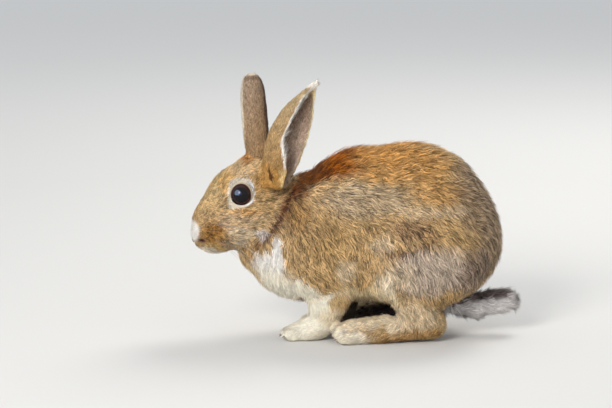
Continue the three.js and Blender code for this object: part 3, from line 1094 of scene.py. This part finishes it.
def scattered(part, uv, rng):
    """Roots over the part: the corners of the triangle that each is in, its share of each, and its UV."""
    triangles = np.vstack([part[:, [0, 1, 2]], part[:, [0, 2, 3]]])
    places = np.concatenate([uv[:, [0, 1, 2]], uv[:, [0, 2, 3]]])
    a, b, c = (points[triangles[:, i]] for i in range(3))
    area = np.linalg.norm(np.cross(b - a, c - a), axis=1) / 2
    wanted = area * density[triangles].mean(1) * (1 - bare[triangles].max(1))
    count = np.floor(wanted + rng.random(len(wanted))).astype(int)
    chosen = np.repeat(np.arange(len(triangles)), count)
    u, v = rng.random(len(chosen)), rng.random(len(chosen))
    over = u + v > 1
    u[over], v[over] = 1 - u[over], 1 - v[over]
    share = np.column_stack([1 - u - v, u, v])
    root_uv = (places[chosen] * share[:, :, None]).sum(1)
    return triangles[chosen], share, root_uv


def reader(corners, share):
    """What gives a vertex value at each root."""
    def rooted(values):
        weights = share if values.ndim == 1 else share[:, :, None]
        return (values[corners] * weights).sum(1)
    return rooted


def tuft_ways(root, normal, rooted, rng):
    """Which way each tuft points: along the lie, swung by smooth and by random amounts."""
    flow = unit(rooted(lie))
    across = unit(np.cross(normal, flow))
    swing = ripple(root, 16 * MM, SEED + 3) * 0.32 + ripple(root, 6 * MM, SEED + 4) * 0.36
    swing = (swing + rng.normal(0, 0.2, len(root))) * rooted(unrest)
    return flow * np.cos(swing)[:, None] + across * np.sin(swing)[:, None]


def hugging(straight, close, rise):
    """Places that follow the skin rather than a straight line, raised above it, and the skin under them."""
    under = found(SKIN_TREE, straight)
    low = points[under]
    above = low + normals[under] * ((straight - low) * normals[under]).sum(1, keepdims=True)
    foot = straight - (above - low) * close
    return foot + normals[under] * rise[:, None], under


def clumped(root, rng):
    """For each tuft the one that its clump leans to, and how strongly it leans."""
    guide = rng.choice(len(root), max(1, len(root) // CLUMP), replace=False)
    clump = guide[found(tree_of(root[guide]), root)]
    pull = rng.uniform(0.15, 0.6, len(root))[:, None]
    return clump, pull * closeness(root, root[clump], CLUMP_REACH)[:, None]


def store_shades(mesh, root, clump, tint, rooted, rng):
    """Stores each tuft's marking, and how light each of its corners is: some tips are dark and some pale."""
    count = len(root)
    pale = tint.mean(1)
    fleck = ripple(root, 3.2 * MM, SEED + 8) * 0.11 + ripple(root, 9 * MM, SEED + 9) * 0.1
    contrast = np.clip(1.25 - 1.2 * pale, 0.15, 1.0)
    tone = rng.normal(0, 0.15, count)[clump] + rng.normal(0, 0.2, count) + fleck
    tone = 1 + tone * contrast * rooted(ticking)
    tick = rng.random(count)
    pale_from = 1 - rooted(pale_ticks)
    kind = np.where(tick < rooted(dark_ticks), 0, np.where(tick > pale_from, 2, 1))
    middle_tone = 1 + (MIDDLE_TONES[kind] - 1) * contrast
    tip_tone = 1 + (TIP_TONES[kind] - 1) * contrast
    # Darker roots: partly the hair's own base, partly painted shade deep in the coat; pale hair less so.
    root_tone = 0.42 + 0.5 * eased(pale / 0.6)
    ramp = np.column_stack([root_tone] + [middle_tone] * 3 + [tip_tone])
    set_values(mesh, "tone", np.clip(tone[:, None] * ramp, 0.15, 1.7).ravel())
    set_values(mesh, "along", np.tile([0, 0.5, 0.5, 0.5, 1.0], count))
    set_values(mesh, "marking", np.repeat(tint, TUFT_CORNERS, axis=0), "FLOAT_COLOR")


def store_patches(mesh, root_uv):
    """Gives each tuft its own small patch of the UV map, round its root's place on the skin."""
    uv = root_uv[:, None, :] + TUFT_SPOTS[None] * PATCH
    uv = uv[:, TUFT_FACES.ravel(), :]
    layer = mesh.uv_layers.new(name="OFBake")
    layer.data.foreach_set("uv", uv.astype(np.float32).ravel())


def tufts(name, part, seed):
    """One piece of the coat: closed, tapered tufts that lie along the skin and hug it."""
    rng = np.random.default_rng(seed)
    corners, share, root_uv = scattered(part, unwrapped(name, part), rng)
    rooted = reader(corners, share)
    root = rooted(points)
    normal = unit(rooted(normals))
    flow = tuft_ways(root, normal, rooted, rng)
    across = unit(np.cross(normal, flow))
    reach = rooted(length) * rng.uniform(0.75, 1.2, len(root))
    lift = rooted(depth * fluff) * rng.uniform(0.7, 1.1, len(root))
    lift *= np.where(rng.random(len(root)) < GUARD_SHARE, GUARD_LIFT, 1.0)
    close = rooted(hug)[:, None]
    thick = rooted(width) * rng.uniform(0.7, 1.25, len(root))
    middle, at_middle = hugging(root + flow * (reach * MIDDLE_AT)[:, None], close, lift * MIDDLE_RISE)
    tip, _ = hugging(root + flow * (reach * TIP_AT)[:, None], close, lift)
    clump, pull = clumped(root, rng)
    tip = tip + (tip[clump] - tip) * pull
    middle = middle + (middle[clump] - middle) * pull * MIDDLE_PULL
    half = (thick / 2)[:, None]
    tint = marking[at_middle]
    ridge = (0.75 - 0.4 * eased(tint.mean(1) / 0.7))[:, None]
    middle_normal = normals[at_middle]
    middle_across = unit(np.cross(middle_normal, tip - root))
    rings = [
        root - normal * ROOTED * MM,
        middle - middle_across * half,
        middle + middle_across * half,
        middle + middle_normal * half * ridge,
        tip,
    ]
    vertices = np.stack(rings, 1).reshape(-1, 3)
    vertices[:, 2] = np.maximum(vertices[:, 2], LEAST_HEIGHT)
    faces = (np.arange(len(root))[:, None, None] * TUFT_CORNERS + TUFT_FACES).reshape(-1, 3)
    piece = mesh_object(name, vertices, faces)
    lean = np.array([0, -1, 1, 0, 0])[None, :, None] * ROUNDNESS
    facing = np.stack([normal] + [middle_normal] * (TUFT_CORNERS - 1), 1) + lean * across[:, None]
    piece.data.normals_split_custom_set_from_vertices(unit(facing).reshape(-1, 3))
    store_shades(piece.data, root, clump, tint, rooted, rng)
    store_patches(piece.data, root_uv)
    piece.data.materials.append(FUR)
    return piece


# ---------------- lids
# Across a lid, from under the eyeball's surface out to the face: mm beyond the edge, mm above the ball.
# The face begins LID_WIDTH mm beyond the edge.
LID_SECTION = ((-2.2, -1.7), (-0.15, -0.1), (0.05, 0.35), (0.45, 0.5), (0.95, 0.2))
LID_WIDTH = 1.9
# The colour of each ring of a lid, from the inside out.
LID_TINTS = (
    paint(28, 17, 17), paint(40, 24, 22), paint(58, 38, 34), paint(96, 72, 62),
    paint(200, 186, 160), paint(206, 192, 164), paint(206, 192, 164),
)


def lids(name):
    """Both lids of an eye as one ring, from the eyeball out to the face: its points and quads."""
    back, over, out = eye_axes(name)
    centre = EYE_CENTRE[name]
    turn = np.linspace(0, math.tau, LID_TURNS, endpoint=False)
    ray = np.outer(np.cos(turn), back) + np.outer(np.sin(turn), over)
    edge = lid_reach(turn)

    def ring(beyond, height):
        return centre + ray * (edge + beyond * MM)[:, None] + np.outer(height, out)

    rings = []
    for beyond, above in LID_SECTION:
        height = ball_height(edge + min(beyond, 0) * MM) + above * MM
        rings.append(ring(beyond, height))
    last = height
    height = np.full(LID_TURNS, 3 * MM)
    for _ in range(4):
        height = (points[found(SKIN_TREE, ring(LID_WIDTH, height))] - centre) @ out
    between = (last + height) / 2 - 0.05 * MM
    rings += [ring(1.4, between), ring(LID_WIDTH, height - 0.6 * MM)]
    step = np.arange(LID_TURNS)
    following = (step + 1) % LID_TURNS
    faces = []
    for i in range(len(rings) - 1):
        a, b = i * LID_TURNS + step, i * LID_TURNS + following
        faces.append(np.column_stack([a, b, b + LID_TURNS, a + LID_TURNS]))
    faces = np.vstack(faces)
    if np.dot(np.cross(back, over), out) < 0:
        faces = faces[:, ::-1]
    shade = np.repeat(LID_TINTS, LID_TURNS, axis=0)
    return np.vstack(rings), faces, shade


def dress_flesh():
    """The skin with its lids, in place of all the flesh nodes."""
    all_points, all_quads, all_marking = [points], [quads], [marking]
    for name in EYES:
        ring_points, ring_quads, ring_marking = lids(name)
        all_quads.append(ring_quads + sum(len(p) for p in all_points))
        all_points.append(ring_points)
        all_marking.append(ring_marking)
    all_points = np.vstack(all_points)
    skin = mesh_object("skin", all_points, np.vstack(all_quads))
    set_values(skin.data, "marking", np.vstack(all_marking), "FLOAT_COLOR")
    set_values(skin.data, "tone", np.ones(len(all_points)))
    set_values(skin.data, "along", np.full(len(all_points), 0.2))
    skin.data.materials.append(HIDE)
    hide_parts(*FLESH)
    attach(skin, "root")


dress_flesh()


def coat_groups():
    """The faces of each piece of the coat, the largest parts of the body in halves or quarters."""
    face_label = node_of[quads[:, 0]]
    spots = points[quads].mean(1)
    middle = at("trunk", 0.5, 0, 0)[0]
    for name, members in PIECES.items():
        inside = np.isin(face_label, members)
        for half, sign in (("left", -1), ("right", 1)):
            here = inside & (spots[:, 1] * sign > 0)
            if name == "coat_back":
                yield f"coat_front_{half}", here & (spots[:, 0] < middle)
                yield f"coat_back_{half}", here & (spots[:, 0] >= middle)
            elif name == "coat_head":
                yield f"coat_head_{half}", here
        if name not in ("coat_back", "coat_head"):
            yield name, inside


FIRST_COAT_SEED = SEED + 100
for number, (name, inside) in enumerate(coat_groups()):
    piece = tufts(name, quads[inside], FIRST_COAT_SEED + number)
    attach(piece, "root")


# ---------------- eyes
EYE_GLOSS = eye_material()
BALL_TURNS = 48
BALL_ROWS = 30
# How far the cornea stands out, as a share of the eye's radius.
CORNEA = 0.035


def closed_rings(count, sides, first, last):
    """Triangles over a row of rings of points, closed by the points numbered first and last."""
    faces = []
    for j in range(sides):
        k = (j + 1) % sides
        faces.append((first, k, j))
        for i in range(count - 1):
            a, b = i * sides + j, i * sides + k
            faces += [(a, b, b + sides), (a, b + sides, a + sides)]
        a = (count - 1) * sides
        faces.append((a + j, a + k, last))
    return np.array(faces)


def circle(sides, across, over):
    """Points round a circle in the plane of two directions, or of two for each of several circles."""
    spin = np.linspace(0, math.tau, sides, endpoint=False)[None, :, None]
    return np.cos(spin) * across + np.sin(spin) * over


def eyeball(name):
    """An eyeball that bulges a little at the cornea, in place of an eye's node."""
    _, over, out = eye_axes(name)
    aside = np.cross(over, out)
    tilt = np.linspace(0, math.pi, BALL_ROWS + 1)[1:-1]
    radius = EYE_RADIUS * (1 + CORNEA * np.exp(-(tilt / 0.75) ** 2 * 1.5))
    rim = circle(BALL_TURNS, aside, over)
    rows = np.cos(tilt)[:, None, None] * out + np.sin(tilt)[:, None, None] * rim
    body = (rows * radius[:, None, None]).reshape(-1, 3)
    ends = np.array([out * EYE_RADIUS * (1 + CORNEA), -out * EYE_RADIUS])
    faces = closed_rings(BALL_ROWS - 1, BALL_TURNS, len(body), len(body) + 1)[:, ::-1]
    ball = mesh_object(name.replace("eye", "eyeball"), np.vstack([body, ends]) + EYE_CENTRE[name], faces)
    from_pupil = np.concatenate([np.repeat(tilt, BALL_TURNS), [0, math.pi]]) / math.pi * 2
    set_values(ball.data, "from_pupil", from_pupil)
    ball.data.materials.append(EYE_GLOSS)
    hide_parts(name)
    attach(ball, "root")


for name in EYES:
    eyeball(name)


# ---------------- whiskers and claws
# The rows and columns of whiskers on each pad, the hairs over each eye, and the toes' places across a foot.
WHISKER_ROWS = 3
WHISKER_COLUMNS = 5
BROW_HAIRS = 3
TOES = (-0.75, -0.25, 0.25, 0.75)


def tapered(name, paths, radii, sides, material):
    """One piece of thin closed tubes along paths, each a list of points with a radius at each."""
    all_points, all_faces, along = [], [], []
    for path, thick in zip(paths, radii):
        start = sum(len(p) for p in all_points)
        count = len(path)
        way = unit(np.gradient(path, axis=0))
        side = unit(np.cross(way, np.array([0.13, 0.2, 0.97])))
        up = np.cross(side, way)
        rim = path[:, None] + circle(sides, side[:, None], up[:, None]) * thick[:, None, None]
        all_points.append(np.vstack([rim[:-1].reshape(-1, 3), path[-1:], path[:1]]))
        tip = (count - 1) * sides
        all_faces.append(start + closed_rings(count - 1, sides, tip + 1, tip))
        along.append(np.concatenate([np.repeat(np.arange(count - 1) / (count - 1), sides), [1, 0]]))
    piece = mesh_object(name, np.vstack(all_points), np.vstack(all_faces))
    set_values(piece.data, "along", np.concatenate(along))
    piece.data.materials.append(material)
    return piece


def skin_near(place):
    """The skin's point nearest to a place, and its normal."""
    index = SKIN_TREE.find(place)[1]
    return points[index], normals[index]


def whiskers():
    """Rows of stiff hairs from both whisker pads, swept back and down, and a few over each eye."""
    rng = np.random.default_rng(SEED + 40)
    steps = np.linspace(0, 1, 9)[:, None]
    paths = []
    for sign, name in zip((-1, 1), EYES):
        for row in range(WHISKER_ROWS):
            for column in range(WHISKER_COLUMNS):
                place = at("head", 0.20 + 0.045 * column, 0.12, 0.34 - 0.06 * row - 0.012 * column)
                if sign > 0:
                    place = other_side(place, True)
                start, normal = skin_near(place)
                way = normal * 0.45 - AHEAD * 0.9 + np.array([0, 0, 0.12 - 0.26 * row])
                way = unit(way + rng.normal(0, 0.08, 3))
                reach = (24 + 3.5 * column + rng.uniform(-4, 4)) * MM
                sweep = -AHEAD * 0.15 - np.array([0, 0, 0.28]) + SIDEWAYS * sign * 0.10
                paths.append(start + way * reach * steps + sweep * reach * steps ** 2 * 0.8)
        back, over, out = eye_axes(name)
        for column in range(BROW_HAIRS):
            place = EYE_CENTRE[name] + over * 11 * MM + back * (column - 1.6) * 2.2 * MM + out * 3 * MM
            start, normal = skin_near(place)
            way = unit(normal * 0.8 + over * 0.5 + back * (0.3 + 0.3 * column))
            paths.append(start + way * 12 * MM * steps + back * 7 * MM * steps ** 2)
    thin = (0.13 * (1 - steps[:, 0]) ** 0.7 + 0.03) * MM
    material = horn_material("whisker", (0.12, 0.08, 0.05), (0.55, 0.47, 0.36))
    piece = tapered("whiskers", paths, [thin] * len(paths), 4, material)
    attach(piece, "root")


def claws():
    """Four short claws on each foot, half hidden by the hair of the toes."""
    steps = np.linspace(0, 1, 6)[:, None]
    droop = np.array([0, 0, -1.9])
    paths = []
    for foot in FEET:
        low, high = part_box(foot)
        middle = (low[1] + high[1]) / 2
        wide = (6.2 if kind_of(foot) == "forepaw" else 6.8) * MM
        for toe in TOES:
            place = np.array([low[0] + abs(toe) * 4 * MM, middle + toe * wide * 1.35, 4.2 * MM])
            root = skin_near(place)[0] + np.array([1.8 * MM, 0, 0])
            root[2] = min(max(root[2], 3.4 * MM), 5 * MM)
            paths.append(root + np.array([-1, 0, -0.1]) * 4.4 * MM * steps + droop * MM * steps ** 2)
    thick = (0.85 * (1 - steps[:, 0] ** 1.6) + 0.06) * MM
    material = horn_material("horn", (0.10, 0.065, 0.045), (0.30, 0.23, 0.17))
    piece = tapered("claws", paths, [thick] * len(paths), 8, material)
    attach(piece, "root")


whiskers()
claws()


# ---------------- studio
def camera():
    """The photo's view: from the rabbit's left side, 10 degrees up."""
    camera = placed("camera", bpy.data.cameras.new("camera"))
    tilt = math.radians(10)
    distance = 1.785
    target = Vector((-0.03276, -0.00009, 0.09281))
    camera.location = target + distance * Vector((0, -math.cos(tilt), math.sin(tilt)))
    camera.rotation_euler = (math.radians(90) - tilt, 0, 0)
    camera.data.lens = 150
    camera.data.sensor_width = 36
    bpy.context.scene.camera = camera


def world():
    """A soft light from all round, with a paler backdrop for the camera, for gloss and through glass."""
    world = bpy.data.worlds.new("studio")
    bpy.context.scene.world = world
    world.use_nodes = True
    tree = world.node_tree
    background = tree.nodes["Background"]
    feed(tree, background, {"Color": (0.93, 0.96, 1.0, 1), "Strength": 0.62})
    seen = added(tree, "Background", {"Color": (0.93, 0.93, 0.925, 1)})
    path = added(tree, "LightPath").outputs
    direct = path["Is Camera Ray"]
    for kind in ("Is Glossy Ray", "Is Transmission Ray"):
        direct = added(tree, "Math", {0: direct, 1: path[kind]}, operation="MAXIMUM").outputs[0]
    mix = added(tree, "MixShader", {0: direct, 1: background.outputs[0], 2: seen.outputs[0]})
    feed(tree, tree.nodes["World Output"], {0: mix.outputs[0]})


def lamp(name, place, aim, size, watts, colour, spread_degrees=180):
    """A round soft lamp that points from a place to another."""
    light = bpy.data.lights.new(name, "AREA")
    light.shape = "DISK"
    light.size = size
    light.energy = watts
    light.spread = math.radians(spread_degrees)
    light.color = colour
    item = placed(name, light)
    item.location = place
    item.rotation_euler = (Vector(aim) - Vector(place)).to_track_quat("-Z", "Y").to_euler()
    return item


def lamps():
    """A key lamp, a rim lamp, and a window and sky that only gloss sees, such as the eye's."""
    lamp("key", (-0.8, -1.5, 0.95), (0, 0, 0.08), 0.8, 4.15, (1.0, 0.97, 0.93), 70)
    lamp("rim", (0.5, 0.8, 1.2), (0, 0, 0.1), 0.8, 10, (1.0, 0.97, 0.92))
    window = lamp("window", (-1.04, -0.79, 0.54), (-0.08, 0, 0.1), 1.5, 58, (0.60, 0.76, 1.0))
    sky = lamp("sky", (-0.85, -1.20, 0.45), (-0.08, 0, 0.1), 2.1, 45, (0.16, 0.30, 1.0))
    for item in (window, sky):
        item.visible_diffuse = False


def floor_material():
    """Plain and matt, a little paler far away."""
    material, tree, bsdf = finish_of("floor_matt", {"Roughness": 0.9, "Specular IOR Level": 0})
    place = added(tree, "TexCoord").outputs["Object"]
    far = added(tree, "VectorMath", {0: place}, operation="LENGTH").outputs["Value"]
    share = added(tree, "MapRange", {"Value": far, "From Min": 0.7, "From Max": 3.0}).outputs["Result"]
    colour = ramped(tree, share, (0.72, 0.715, 0.70), (0.96, 0.96, 0.95))
    feed(tree, bsdf, {"Base Color": colour})
    return material


def floor():
    """A plain pale floor."""
    size = 4.0
    corners = [(-size, -size, 0), (size, -size, 0), (size, size, 0), (-size, size, 0)]
    floor = mesh_object("floor", np.array(corners, float), np.array([(0, 1, 2, 3)]))
    floor.data.materials.append(floor_material())


bpy.context.scene.view_settings.view_transform = "Standard"
camera()
world()
lamps()
floor()
